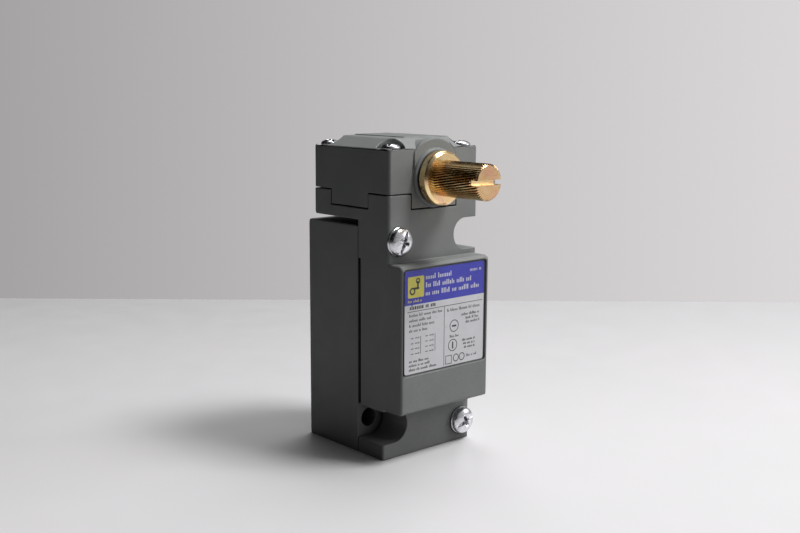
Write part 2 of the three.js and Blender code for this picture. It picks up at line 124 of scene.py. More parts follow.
# Closes both ends of a run of rings, then joins each ring to the next.
def skin(bm, rings, capped=True):
    if capped:
        bm.faces.new(rings[0])
        bm.faces.new(rings[-1])
    for one, two in zip(rings, rings[1:]):
        for i in range(len(one)):
            j = (i + 1) % len(one)
            bm.faces.new((one[i], one[j], two[j], two[i]))


def addPrism(bm, outline, axis, start, end):
    place = axisPlaces[axis]
    skin(bm, [[bm.verts.new(place(u, v, depth)) for u, v in outline] for depth in (start, end)])


def prism(outline, axis, start, end):
    bm = bmesh.new()
    addPrism(bm, outline, axis, start, end)
    return toObject(bm)


sideTests = {"left": (0, -1), "right": (0, 1), "front": (1, -1),
             "back": (1, 1), "bottom": (2, -1), "top": (2, 1)}


# Rounds each edge by its weight; width is the radius at weight 1.
def roundWeighted(made, width, segments):
    rounding = made.modifiers.new("rounding", "BEVEL")
    rounding.limit_method = "WEIGHT"
    rounding.width = width
    rounding.segments = segments
    rounding.use_clamp_overlap = False
    return bakeModifiers(made)


# A cast block; rounds gives the radius of each edge by the two sides that meet there.
def castBlock(left, right, front, back, bottom, top, rounds):
    bm = bmesh.new()
    bmesh.ops.create_cube(bm, size=2)
    weights = bm.edges.layers.float.new("bevel_weight_edge")
    biggest = max(rounds.values())
    for pair, radius in rounds.items():
        for edge in bm.edges:
            if all(vert.co[sideTests[s][0]] * sideTests[s][1] > 0 for vert in edge.verts for s in pair):
                edge[weights] = radius / biggest
    for vert in bm.verts:
        vert.co = [(low + high) / 2 + (high - low) / 2 * share for low, high, share in
                   zip((left, front, bottom), (right, back, top), vert.co)]
    return roundWeighted(toObject(bm), biggest, meshing["castSteps"])


# Turned about an axis: the profile is (radius, place along the axis) and starts and ends at radius 0 or closes up.
def turned(profile, axis, centre, steps=64, closed=False):
    bm = bmesh.new()
    place = axisPlaces[axis]
    rings = []
    for radius, along in profile:
        if radius < 1e-6:
            rings.append([bm.verts.new(place(centre[0], centre[1], along))])
        else:
            rings.append([bm.verts.new(place(u, v, along)) for u, v in circleOutline(*centre, radius, steps)])
    pairs = list(zip(rings, rings[1:]))
    if closed:
        pairs.append((rings[-1], rings[0]))
    for one, two in pairs:
        for i in range(steps):
            j = (i + 1) % steps
            corners = [one[i % len(one)], one[j % len(one)], two[j % len(two)], two[i % len(two)]]
            corners = list(dict.fromkeys(corners))
            if len(corners) > 2:
                bm.faces.new(corners)
    return toObject(bm)


def cylinder(radius, axis, start, end, centre, steps=48):
    return prism(circleOutline(*centre, radius, steps), axis, start, end)


def combine(made, tools, how="DIFFERENCE"):
    for tool in tools:
        step = made.modifiers.new("step", "BOOLEAN")
        step.object = tool
        step.operation = how
        step.solver = "EXACT"
    bakeModifiers(made)
    for tool in tools:
        bpy.data.objects.remove(tool)
    bm = bmesh.new()
    bm.from_mesh(made.data)
    bmesh.ops.remove_doubles(bm, verts=bm.verts, dist=meshing["weldWithin"])
    bmesh.ops.dissolve_limit(bm, angle_limit=math.radians(meshing["flatAngle"]), verts=bm.verts, edges=bm.edges)
    bm.to_mesh(made.data)
    bm.free()
    return made


# Small casting or machining radii on every edge sharper than the given angle.
def breakEdges(made, width, angle=32, segments=3):
    rounding = made.modifiers.new("edges", "BEVEL")
    rounding.limit_method = "ANGLE"
    rounding.angle_limit = math.radians(angle)
    rounding.width = width
    rounding.segments = segments
    rounding.use_clamp_overlap = False
    rounding.loop_slide = True
    rounding.miter_outer = "MITER_ARC"
    return bakeModifiers(made)


# Names the piece, brings it to metres, smooths its shading and ties it to its body.
def toPiece(made, name, material, body, replaced=(), smoothAngle=40):
    made.name = name
    made.data.name = name
    made.data.transform(Matrix.Scale(mm, 4))
    made.data.materials.clear()
    made.data.materials.append(material)
    made.data.polygons.foreach_set("use_smooth", [True] * len(made.data.polygons))
    made.data.set_sharp_from_angle(angle=math.radians(smoothAngle))
    weighted = made.modifiers.new("weighted", "WEIGHTED_NORMAL")
    weighted.keep_sharp = True
    weighted.weight = meshing["normalWeight"]
    bakeModifiers(made)
    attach(made, body)
    if replaced:
        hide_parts(*replaced)
    return made


# Adds a shader node; each input is a fixed value or another node's output.
def addNode(tree, kind, inputs=None, **settings):
    made = tree.nodes.new(kind)
    for key, value in settings.items():
        setattr(made, key, value)
    for key, value in (inputs or {}).items():
        if isinstance(value, bpy.types.NodeSocket):
            tree.links.new(value, made.inputs[key])
        else:
            made.inputs[key].default_value = value
    return made


# A finish; its patterns lie in the object's own space.
class Recipe:
    def __init__(self, name, **settings):
        self.material = bpy.data.materials.new(name)
        self.material.use_nodes = True
        self.tree = self.material.node_tree
        self.shader = self.tree.nodes["Principled BSDF"]
        self.place = self.node("ShaderNodeTexCoord").outputs["Object"]
        for socket, value in settings.items():
            self.shader.inputs[socket.replace("_", " ")].default_value = value

    def node(self, kind, inputs=None, **settings):
        return addNode(self.tree, kind, inputs, **settings)

    def noise(self, scale, detail=3.0, rough=0.5, stretch=(1, 1, 1)):
        place = self.node("ShaderNodeMapping", {"Vector": self.place, "Scale": stretch}).outputs["Vector"]
        return self.node("ShaderNodeTexNoise", {"Vector": place, "Scale": scale, "Detail": detail,
                                                "Roughness": rough}).outputs["Fac"]

    def ramp(self, source, *stops):
        made = self.node("ShaderNodeValToRGB", {"Fac": source})
        while len(made.color_ramp.elements) < len(stops):
            made.color_ramp.elements.new(0.5)
        for element, (position, colour) in zip(made.color_ramp.elements, stops):
            element.position = position
            element.color = (*colour, 1) if isinstance(colour, tuple) else (colour, colour, colour, 1)
        return made.outputs["Color"]

    def sums(self, how, one, two):
        return self.node("ShaderNodeMath", {0: one, 1: two}, operation=how).outputs[0]

    def spread(self, source, low, high, fromLow=0.3, fromHigh=0.7):
        return self.node("ShaderNodeMapRange", {"Value": source, "From Min": fromLow, "From Max": fromHigh,
                                                "To Min": low, "To Max": high}).outputs["Result"]

    def blend(self, factor, one, two, how="MIX"):
        made = self.node("ShaderNodeMix", data_type="RGBA", blend_type=how)
        for index, value in ((0, factor), (6, one), (7, two)):
            if isinstance(value, bpy.types.NodeSocket):
                self.tree.links.new(value, made.inputs[index])
            else:
                made.inputs[index].default_value = value if index == 0 else (*value, 1)
        return made.outputs[2]

    # Painted shade: darkens the colour where the surface is hemmed in within the reach; span is the openness where
    # that starts and ends.
    def paintHollowShade(self, tone, reach, amount, span, shade, samples):
        openness = self.node("ShaderNodeAmbientOcclusion", {"Distance": reach * mm}, samples=samples)
        return self.blend(self.spread(openness.outputs["AO"], amount, 0.0, *span), tone, shade)

    def finish(self, colour=None, rough=None, heights=()):
        if colour is not None:
            self.tree.links.new(colour, self.shader.inputs["Base Color"])
        if rough is not None:
            self.tree.links.new(rough, self.shader.inputs["Roughness"])
        normal = None
        for height, strength, distance in heights:
            inputs = {"Height": height, "Strength": strength, "Distance": distance * mm}
            if normal is not None:
                inputs["Normal"] = normal
            normal = self.node("ShaderNodeBump", inputs).outputs["Normal"]
        if normal is not None:
            self.tree.links.new(normal, self.shader.inputs["Normal"])
        return self.material


# Enamel over a zinc die casting: soft tone changes, orange peel, fine pits, and painted shade in the corners and
# pockets.
paintLook = {"ior": 1.5, "gloss": 0.26, "light": (0.262, 0.274, 0.268), "dark": (0.226, 0.238, 0.233),
             "patchScale": 55, "grainScale": 4200, "grainShare": 0.12, "grainBump": (0.3, 0.02),
             "peelScale": 1500, "peelBump": (0.28, 0.05), "roughScale": 260, "roughLow": 0.38, "roughHigh": 0.52,
             # The last two entries are painted shade in corners and in deep pockets: reach, strength, openness
             # span, shade colour, samples.
             "corner": (5, 0.95, (0.15, 0.62), (0.014, 0.015, 0.014), 8),
             "pocketShade": (18, 0.96, (0.1, 0.42), (0.006, 0.006, 0.006), 6)}


def machineEnamel():
    look = paintLook
    paint = Recipe("machine enamel", IOR=look["ior"], Specular_IOR_Level=look["gloss"])
    patches = paint.noise(look["patchScale"], 4, 0.6)
    tone = paint.ramp(patches, (0.3, look["dark"]), (0.7, look["light"]))
    grain = paint.noise(look["grainScale"], 2, 0.6)
    tone = paint.blend(look["grainShare"], tone, paint.ramp(grain, (0.35, 0.1), (0.65, 0.9)), "OVERLAY")
    # Painted shade, darkest in the corners and deep pockets.
    tone = paint.paintHollowShade(tone, *look["corner"])
    tone = paint.paintHollowShade(tone, *look["pocketShade"])
    rough = paint.spread(paint.noise(look["roughScale"], 4, 0.6), look["roughLow"], look["roughHigh"])
    peel = paint.noise(look["peelScale"], 2, 0.5)
    return paint.finish(tone, rough, ((peel, *look["peelBump"]), (grain, *look["grainBump"])))


# Yellow chromate over zinc: gold with copper and pale drifts, and painted shade in brown down in the knurl's
# grooves.
# groove gives the heights above the root where that painted shade is deepest and where it is gone.
chromateLook = {"gold": (0.95, 0.70, 0.35), "copper": (0.92, 0.58, 0.36), "pale": (0.98, 0.82, 0.50),
                "grooveShade": (0.1, 0.045, 0.02), "faced": (0.78, 0.68, 0.7), "facedShare": 0.85,
                "groove": (0.1, 0.5), "grooveLeft": 0.15, "core": 0.1, "clear": 0.45,
                "patchScale": 190, "pitScale": 2600, "pitDepth": 0.02, "pitPlain": 0.1, "pitGrooved": 0.04,
                "roughScale": 420, "roughLow": 0.16, "roughHigh": 0.3}


def goldChromate(name="gold chromate", grooves=None):
    look = chromateLook
    plating = Recipe(name, Metallic=1.0)
    patches = plating.noise(look["patchScale"], 4, 0.6)
    tone = plating.ramp(patches, (0.32, look["copper"]), (0.5, look["gold"]), (0.68, look["pale"]))
    pits = look["pitGrooved"] if grooves else look["pitPlain"]
    heights = [(plating.noise(look["pitScale"], 3, 0.6), pits, look["pitDepth"])]
    if grooves:
        # Distance from the axle, so that the painted shade is darkest at the bottoms of the grooves.
        spot = plating.node("ShaderNodeSeparateXYZ", {0: plating.place})
        offset = plating.sums("SUBTRACT", spot.outputs["Z"], axleZ * mm)
        square = plating.sums("ADD", plating.sums("POWER", spot.outputs["X"], 2.0),
                              plating.sums("POWER", offset, 2.0))
        radius = plating.sums("SQRT", square, 0.0)
        deep, shallow = [(grooves["root"] + height) * mm for height in look["groove"]]
        depth = plating.spread(radius, 1.0, look["grooveLeft"], deep, shallow)
        outside = plating.sums("GREATER_THAN", radius, (grooves["root"] - look["core"]) * mm)
        behindFace = plating.sums("GREATER_THAN", spot.outputs["Y"], (shaftBox["front"] + look["clear"]) * mm)
        depth = plating.sums("MULTIPLY", depth, plating.sums("MULTIPLY", outside, behindFace))
        onFace = plating.spread(behindFace, look["facedShare"], 0.0, 0.0, 1.0)
        tone = plating.blend(onFace, tone, look["faced"], "MULTIPLY")
        # Painted shade at the bottoms of the knurl's grooves.
        tone = plating.blend(depth, tone, look["grooveShade"])
    rough = plating.spread(plating.noise(look["roughScale"], 4, 0.65), look["roughLow"], look["roughHigh"])
    return plating.finish(tone, rough, heights)


# Bright zinc plating with a faint blue cast, small scratches and worn spots.
zincLook = {"tint": (0.74, 0.75, 0.78), "wornShare": 0.72, "patchScale": 650, "patchBump": (0.12, 0.04),
            "scratchScale": 2400, "scratchStretch": (1, 9, 1), "scratchBump": (0.16, 0.02),
            "roughScale": 900, "roughLow": 0.14, "roughHigh": 0.32}


def brightZinc():
    look = zincLook
    plating = Recipe("bright zinc", Metallic=1.0)
    patches = plating.noise(look["patchScale"], 5, 0.65)
    worn = tuple(c * look["wornShare"] for c in look["tint"])
    tone = plating.ramp(patches, (0.3, worn), (0.62, look["tint"]))
    scratches = plating.noise(look["scratchScale"], 2, 0.5, look["scratchStretch"])
    rough = plating.spread(plating.noise(look["roughScale"], 4, 0.6), look["roughLow"], look["roughHigh"])
    return plating.finish(tone, rough, ((scratches, *look["scratchBump"]), (patches, *look["patchBump"])))


# Drawn, stamped or turned metal for the inner pieces, with the grain along one axis.
metalLook = {"grainScale": 900, "grainBump": (0.15, 0.02), "roughScale": 500}


def turnedMetal(name, bright, dull, roughLow, roughHigh, stretch=(1, 1, 8)):
    metal = Recipe(name, Metallic=1.0)
    grain = metal.noise(metalLook["grainScale"], 4, 0.6, stretch)
    tone = metal.ramp(grain, (0.3, dull), (0.7, bright))
    rough = metal.spread(metal.noise(metalLook["roughScale"], 3, 0.6), roughLow, roughHigh)
    return metal.finish(tone, rough, ((grain, *metalLook["grainBump"]),))


# Moulded plastic or rubber: a fine spark-eroded grain and slight tone drift.
plasticLook = {"ior": 1.48, "driftScale": 120, "roughScale": 420, "grainStrength": 0.25}


def moulded(name, light, dark, roughLow, roughHigh, grainScale=2600, depth=0.03):
    plastic = Recipe(name, IOR=plasticLook["ior"])
    tone = plastic.ramp(plastic.noise(plasticLook["driftScale"], 4, 0.6), (0.3, dark), (0.7, light))
    grain = plastic.noise(grainScale, 3, 0.6)
    rough = plastic.spread(plastic.noise(plasticLook["roughScale"], 3, 0.6), roughLow, roughHigh)
    return plastic.finish(tone, rough, ((grain, plasticLook["grainStrength"], depth),))


# Printed polyester film: one ink or the bare film, with the slightest cloudiness and screen grain.
filmLook = {"ior": 1.5, "coat": 0.25, "coatRough": 0.2, "cloudScale": 160, "grainScale": 5200, "grainShare": 0.06,
            "roughScale": 240, "roughLow": 0.26, "roughHigh": 0.4, "waveScale": 700, "waveBump": (0.05, 0.03)}


def film(name, light, dark):
    look = filmLook
    sheet = Recipe(name, IOR=look["ior"], Coat_Weight=look["coat"], Coat_Roughness=look["coatRough"])
    tone = sheet.ramp(sheet.noise(look["cloudScale"], 5, 0.6), (0.3, dark), (0.7, light))
    grain = sheet.noise(look["grainScale"], 2, 0.5)
    tone = sheet.blend(look["grainShare"], tone, sheet.ramp(grain, (0.35, 0.0), (0.65, 1.0)), "OVERLAY")
    rough = sheet.spread(sheet.noise(look["roughScale"], 3, 0.6), look["roughLow"], look["roughHigh"])
    return sheet.finish(tone, rough, ((sheet.noise(look["waveScale"], 2, 0.5), *look["waveBump"]),))


enamel = machineEnamel()
chromate = goldChromate()
zinc = brightZinc()
labelTones = {"label film": ((0.76, 0.76, 0.79), (0.7, 0.7, 0.73)),
              "blue ink": ((0.028, 0.033, 0.5), (0.022, 0.026, 0.44)),
              "black ink": ((0.02, 0.02, 0.022), (0.012, 0.012, 0.013)),
              "yellow ink": ((0.82, 0.75, 0.12), (0.74, 0.66, 0.09))}
filmWhite, inkBlue, inkBlack, inkYellow = [film(name, *tones) for name, tones in labelTones.items()]
innerLooks = {
    "spring_steel": turnedMetal("spring steel", (0.52, 0.53, 0.55), (0.36, 0.37, 0.39), 0.22, 0.4),
    "bronze": turnedMetal("sintered bronze", (0.62, 0.4, 0.2), (0.42, 0.25, 0.11), 0.35, 0.5, (1, 1, 1)),
    "brass": turnedMetal("brass", (0.83, 0.64, 0.3), (0.62, 0.45, 0.18), 0.22, 0.38),
    "contact_copper": turnedMetal("contact copper", (0.83, 0.5, 0.34), (0.6, 0.32, 0.2), 0.2, 0.36, (8, 1, 1)),
    "rubber": moulded("gasket rubber", (0.022, 0.022, 0.023), (0.014, 0.014, 0.015), 0.6, 0.8, 1800, 0.05),
    "black_plastic": moulded("black phenolic", (0.03, 0.03, 0.032), (0.02, 0.02, 0.021), 0.3, 0.5),
    "cream_plastic": moulded("cream plastic", (0.62, 0.57, 0.44), (0.54, 0.49, 0.37), 0.35, 0.5),
    "green_paint": moulded("green paint", (0.03, 0.21, 0.075), (0.022, 0.16, 0.055), 0.35, 0.5),
    "zinc_plate": zinc,
    "gold_chromate": chromate,
    "label": filmWhite,
    "casting": enamel,
}
print("materials mixed:", len(bpy.data.materials))

# The receptacle: a wiring box, open to the front, with a conduit entry below and two bolt holes.
receptacle = {"rounds": {("back", "bottom"): 1.0, ("back", "top"): 1.8, ("front", "top"): 0.6,
                         ("back", "left"): 0.5, ("back", "right"): 0.5, ("top", "left"): 0.6,
                         ("top", "right"): 0.6, ("bottom", "left"): 0.3, ("bottom", "right"): 0.3},
              "edge": 0.3, "cavityHalf": 16.5, "cavityBottom": 19.0, "cavityTop": 66.5, "cavityRound": 2.0,
              "wallBack": 3.0, "conduitRadius": 9.7, "conduitGroove": 10.2, "conduitBehind": 20.5,
              "threadPitch": 1.8, "boltRadius": 3.2, "boltPlaces": ((-15.0, 11.3), (15.0, 74.5)),
              "tapRadius": 2.4, "tapDepth": 13.0, "cutPast": 1}
captivePlaces = [(*middle(sides("captive_screw_" + place))[::2], place) for place in ("upper", "lower")]


def makeReceptacle():
    part, box = receptacle, receptacleBox
    shell = castBlock(box["left"], box["right"], box["front"], box["back"], box["bottom"], box["top"],
                      part["rounds"])
    past = part["cutPast"]  # how far a cutter runs past the surface it opens
    start, half = box["front"] - past, part["cavityHalf"]
    cavity = prism(roundOutline(-half, half, part["cavityBottom"], part["cavityTop"], part["cavityRound"]), "y",
                   start, box["back"] - part["wallBack"])
    groove = []
    depth = -past
    while depth < part["cavityBottom"] + past:  # thread of the conduit entry as a run of V rings
        groove += [(part["conduitRadius"], depth), (part["conduitGroove"], depth + part["threadPitch"] / 2)]
        depth += part["threadPitch"]
    conduit = turned([(0, groove[0][1])] + groove + [(0, groove[-1][1])], "z", (0, part["conduitBehind"]))
    bolts = [cylinder(part["boltRadius"], "y", start, box["back"] + past, place) for place in part["boltPlaces"]]
    taps = [cylinder(part["tapRadius"], "y", start, box["front"] + part["tapDepth"], (x, z), 32)
            for x, z, _ in captivePlaces]
    combine(shell, [cavity, conduit, *bolts, *taps])
    breakEdges(shell, part["edge"])
    toPiece(shell, "receptacle_casting", enamel, "housing", ("receptacle",))


makeReceptacle()
print("receptacle cast")

# The switch body: foot, cover block, neck and deck in one casting.
switchBody = {"footFront": -6.3, "coverBottom": 17.5, "coverTop": 67.2, "neckFront": -8.8, "deckBack": 30.5,
              "flangeBottom": 80.4, "deckTop": 84.2, "seam": 0.3, "overlap": (1, 2), "cutPast": 2,
              "footRounds": {("front", "left"): 0.8, ("front", "right"): 0.5, ("front", "bottom"): 0.35,
                             ("left", "bottom"): 0.35, ("right", "bottom"): 0.35},
              "coverRounds": {("front", "left"): 1.05, ("front", "right"): 0.8, ("front", "top"): 1.8,
                              ("front", "bottom"): 1.0, ("left", "top"): 1.0, ("right", "top"): 1.0,
                              ("left", "bottom"): 0.5, ("right", "bottom"): 0.5},
              "neckRounds": {("front", "left"): 1.2, ("front", "right"): 0.6},
              "deckRounds": {("front", "left"): 1.2, ("front", "right"): 0.6, ("back", "left"): 0.6,
                             ("back", "right"): 0.6, ("back", "bottom"): 1.8},
              "tongueHalf": 10.0, "tongueFront": 1.9, "tongueBack": 21.4, "edge": 0.28,
              "notch": (14.8, 74.5, 5.4), "relief": (-15.0, 11.1, 5.8), "sideRun": 9, "scoop": 5.6,
              "recessHalf": 18.9, "recessBottom": 30.4, "recessTop": 66.0, "recessDepth": 0.9, "recessRound": 1.2,
              "slotDepth": 1.4, "slotWidth": 1.2, "cavityHalf": 16.8, "cavityFront": -12.3,
              "cavityBottom": 20.5, "cavityTop": 64.2, "cavityRound": 1.5, "captiveHole": 2.5, "rodHole": 3.0,
              "springWell": 5.2, "screwHole": 1.9, "screwFloor": 1.6}


def makeSwitchBody():
    part, box = switchBody, bodyBox
    left, right, back = box["left"], box["right"], receptacleBox["front"] - part["seam"]
    intoCover, intoNeck = part["overlap"]
    casting = castBlock(left, right, part["footFront"], back, box["bottom"], part["coverBottom"] + intoCover,
                        part["footRounds"])
    cover = castBlock(left, right, box["front"], back, part["coverBottom"], part["coverTop"], part["coverRounds"])
    neck = castBlock(left, right, part["neckFront"], back, part["coverTop"] - intoNeck, part["deckTop"],
                     part["neckRounds"])
    deck = castBlock(left, right, part["neckFront"], part["deckBack"], part["flangeBottom"], box["top"],
                     part["deckRounds"])
    combine(casting, [cover, neck, deck], "UNION")

    gap, half, past = part["seam"], part["tongueHalf"], part["cutPast"]
    top = box["top"] + past
    tools = [
        prism(roundOutline(-half - gap, half + gap, part["neckFront"] - past, part["deckBack"] + past, 0),
              "z", part["deckTop"], top),
        prism(roundOutline(left - past, right + past, part["tongueFront"] - gap, part["tongueBack"] + gap, 0),
              "z", part["deckTop"], top)]
    run = part["sideRun"]
    openings = ((part["notch"], 1, part["neckFront"]), (part["relief"], -1, part["footFront"]))
    for (x, z, radius), way, front in openings:
        start = 90 * way  # half round inside, then straight out through the side
        outline = arc(x, z, radius, start, start + 180, 32)
        outline += [(x + way * run, z - way * radius), (x + way * run, z + way * radius)]
        tools.append(prism(outline, "y", front - past, back + past))
    for hollow, start, stop in (("cavity", part["cavityFront"], back + past),
                                ("recess", box["front"] - past, box["front"] + part["recessDepth"])):
        half, low, high, corner = [part[hollow + size] for size in ("Half", "Bottom", "Top", "Round")]
        tools.append(prism(roundOutline(-half, half, low, high, corner), "y", start, stop))
    x, z, _ = captivePlaces[0]
    tools.append(cylinder(part["scoop"], "y", box["front"] - past, part["neckFront"], (x, z)))
    for x, z, _ in captivePlaces:
        tools.append(cylinder(part["captiveHole"], "y", box["front"] - past, back + past, (x, z), 32))
    rod = middle(sides("push_rod"))[:2]
    tools.append(cylinder(part["rodHole"], "z", part["cavityTop"] - 1, part["coverTop"], rod, 32))
    tools.append(cylinder(part["springWell"], "z", sides("spring_seat")["bottom"] - 0.1, top, rod))
    for edgeX, way in ((left, 1), (right, -1)):
        inner = edgeX + way * part["slotDepth"]
        outer = edgeX - way * past
        outline = roundOutline(min(inner, outer), max(inner, outer), back - part["slotWidth"], back + past, 0)
        tools.append(prism(outline, "z", part["coverBottom"], part["coverTop"] + gap))
    for i in range(4):
        x, y, _ = middle(sides(f"head_screw_{i + 1}"))
        tools.append(cylinder(part["screwHole"], "z", part["flangeBottom"] + part["screwFloor"], top, (x, y), 32))
    combine(casting, tools)
    breakEdges(casting, part["edge"])
    toPiece(casting, "switch_body_casting", enamel, "housing", ("switch_body",))


makeSwitchBody()
print("switch body cast")

# The operating head: a square casting with tongues below, a hipped top and a round hub for the shaft.
# corners are the radii of the upright edges, ridges the shares of the first one on hips, eaves and plateau.
head = {"shoulder": 89.65, "eave": 104.2, "plateau": 107.4, "roofRun": 6.4, "padHalf": 7.5, "padInset": 0.4,
        "padRound": 0.15, "tongueHalf": 10.0, "tongueFront": 1.9, "tongueBack": 21.4,
        "corners": (1.0, 0.6, 0.5, 0.5), "ridges": (0.7, 0.4, 0.6), "archRadius": 12.9, "archBack": 8.0,
        "cheekRadius": 12.7, "cheekHalf": 9.2, "cheekProud": 0.35, "hubRadius": 9.75, "hubFront": -10.2,
        "hubRound": (0.2, 0.7), "boreRadius": 8.0, "face": -8.8, "scallop": 4.6, "scallopFloor": 104.0,
        "screwHole": 2.0, "edge": 0.26, "innerHalf": 10.2, "innerFront": -3.9, "innerBack": 21.5,
        "innerRound": 1.0, "rearBore": 5.0, "rearBoreEnd": 27.5, "cutPast": 1}


# The upper part: straight walls, then a hipped roof up to the plateau.
def hippedBlock(part, left, right, front, back):
    bm = bmesh.new()
    rings = []
    for inset, height in ((0, part["shoulder"]), (0, part["eave"]), (part["roofRun"], part["plateau"])):
        corners = ((left + inset, front + inset), (right - inset, front + inset),
                   (right - inset, back - inset), (left + inset, back - inset))
        rings.append([bm.verts.new((x, y, height)) for x, y in corners])
    weights = bm.edges.layers.float.new("bevel_weight_edge")
    skin(bm, rings)
    biggest = part["corners"][0]
    hip, eave, plateau = part["ridges"]
    for i, upright in enumerate(part["corners"]):
        j = (i + 1) % 4
        bm.edges.get((rings[0][i], rings[1][i]))[weights] = upright / biggest
        bm.edges.get((rings[1][i], rings[2][i]))[weights] = hip
        bm.edges.get((rings[1][i], rings[1][j]))[weights] = eave
        bm.edges.get((rings[2][i], rings[2][j]))[weights] = plateau
    return roundWeighted(toObject(bm), biggest, meshing["roofSteps"])


def makeHead():
    part, box = head, headBox
    left, right, back, face = box["left"], box["right"], box["back"], part["face"]
    casting = hippedBlock(part, left, right, face, back)
    half, low, past = part["tongueHalf"], box["bottom"], part["cutPast"]
    run = part["roofRun"] + part["padInset"]
    hub, hubFront = part["hubRadius"], part["hubFront"]
    fine, broad = part["hubRound"]
    pieces = [
        prism(roundOutline(-half, half, face, back, 0), "z", low, part["shoulder"] + past),
        prism(roundOutline(left, right, part["tongueFront"], part["tongueBack"], 0), "z", low,
              part["shoulder"] + past),
        castBlock(-part["padHalf"], part["padHalf"], face + run, back - run, part["plateau"] - past, box["top"], {
            (side, "top"): part["padRound"] for side in ("left", "right", "front", "back")}),
        prism(arc(0, axleZ, part["archRadius"], 0, 180, 72), "y", face, part["archBack"]),
        turned([(0, hubFront), (hub - broad, hubFront), (hub - fine, hubFront + fine),
                (hub, hubFront + broad), (hub, 0), (0, 0)], "y", (0, axleZ), 96)]
    start = math.degrees(math.acos(part["cheekHalf"] / part["cheekRadius"]))
    cheek = [(-part["cheekHalf"], axleZ), (part["cheekHalf"], axleZ)]
    cheek += arc(0, axleZ, part["cheekRadius"], start, 180 - start, 40)
    pieces.append(prism(cheek, "y", face - part["cheekProud"], 0))
    combine(casting, pieces, "UNION")

    inner = part["innerHalf"]
    tools = [
        prism(roundOutline(-inner, inner, part["innerFront"], part["innerBack"], part["innerRound"]), "z",
              low - past, part["eave"]),
        cylinder(part["boreRadius"], "y", hubFront - 2 * past, part["innerFront"] + past, (0, axleZ), 96),
        cylinder(part["rearBore"], "y", part["innerBack"] - past, part["rearBoreEnd"], (0, axleZ))]
    for i in range(4):
        x, y, _ = middle(sides(f"head_screw_{i + 1}"))
        tools.append(cylinder(part["scallop"], "z", part["scallopFloor"], box["top"] + past, (x, y), 64))
        tools.append(cylinder(part["screwHole"], "z", part["shoulder"] - past, part["eave"], (x, y), 32))
    combine(casting, tools)
    breakEdges(casting, part["edge"])
    toPiece(casting, "operating_head_casting", enamel, "housing", ("operating_head",))


makeHead()
print("operating head cast")

# The shaft: collar, journal, eccentric and tail turned in one, and the knurled end with its slot.
# tooth is the height of each point across one tooth, as a share of the knurl's depth.
shaft = {"collar": 9.0, "collarBack": -11.0, "collarFront": -14.5, "chamfer": 0.85, "fine": 0.1, "backEdge": 0.2,
         "journal": 5.5, "journalBack": -3.6, "crest": 5.95, "root": 5.2, "teeth": 42, "twistPerMm": 1.7,
         "endChamfer": 0.6, "tooth": (1.0, 1.0, 0.5, 0.0, 0.5), "stepMm": 0.55, "slotHalf": 0.82,
         "slotDeep": 3.0, "slotRun": 8, "throw": 2.0, "eccentric": (5.5, -3.7, 1.3), "eccentricEdge": 0.25,
         "rear": (3.3, 1.0, 26.8), "rearEdge": 0.4}


def makeShaft():
    part, fine = shaft, shaft["fine"]
    collar, front, back = part["collar"], part["collarFront"], part["collarBack"]
    chamfer, edge = part["chamfer"], part["backEdge"]
    body = turned([(0, front + edge), (part["root"] - fine, front + edge), (part["root"] - fine, front),
                   (collar - chamfer, front), (collar - fine, front + chamfer - fine),
                   (collar, front + chamfer + fine), (collar, back - edge), (collar - edge, back),
                   (part["journal"], back), (part["journal"], part["journalBack"]), (0, part["journalBack"])],
                  "y", (0, axleZ), 128)
    radius, start, stop = part["eccentric"]
    edge = part["eccentricEdge"]
    lump = turned([(0, start), (radius - edge, start), (radius, start + edge), (radius, stop - edge),
                   (radius - edge, stop), (0, stop)], "y", (part["throw"], axleZ))
    radius, start, stop = part["rear"]
    edge = part["rearEdge"]
    tail = turned([(0, start), (radius, start), (radius, stop - edge), (radius - edge, stop), (0, stop)], "y",
                  (0, axleZ), 48)
    combine(body, [lump, tail], "UNION")
    toPiece(body, "shaft_collar", chromate, "shaft", smoothAngle=30)


def makeKnurl():
    part, end = shaft, shaftBox["front"]
    bm = bmesh.new()
    around = part["teeth"] * len(part["tooth"])
    length = part["collarFront"] + part["fine"] - end
    chamfer = part["endChamfer"]
    steps = round((length - chamfer) / part["stepMm"])
    depth = part["crest"] - part["root"]
    rings = []
    places = [0, chamfer / 2] + [chamfer + (length - chamfer) * k / steps for k in range(steps + 1)]
    for along in places:  # from the end face inwards
        ring = []
        for i in range(around):
            angle = 2 * math.pi * i / around + math.radians(along * part["twistPerMm"])
            radius = part["root"] + depth * part["tooth"][i % len(part["tooth"])]
            radius = min(radius, part["crest"] - chamfer + along)
            ring.append(bm.verts.new((radius * math.cos(angle), end + along, axleZ + radius * math.sin(angle))))
        rings.append(ring)
    skin(bm, rings, capped=False)
    bm.faces.new(rings[0])
    bm.faces.new(rings[-1])
    knurl = toObject(bm)
    run, half = part["slotRun"], part["slotHalf"]
    slot = prism(roundOutline(-run, run, axleZ - half, axleZ + half, 0), "y", end - 1, end + part["slotDeep"])
    slotCut = knurl.modifiers.new("slot", "BOOLEAN")
    slotCut.object = slot
    slotCut.solver = "EXACT"
    bakeModifiers(knurl)
    bpy.data.objects.remove(slot)
    grooved = goldChromate("gold chromate knurl", part)
    toPiece(knurl, "shaft_knurl", grooved, "shaft", ("operating_shaft",), smoothAngle=24)


makeShaft()
makeKnurl()
print("shaft turned and knurled")

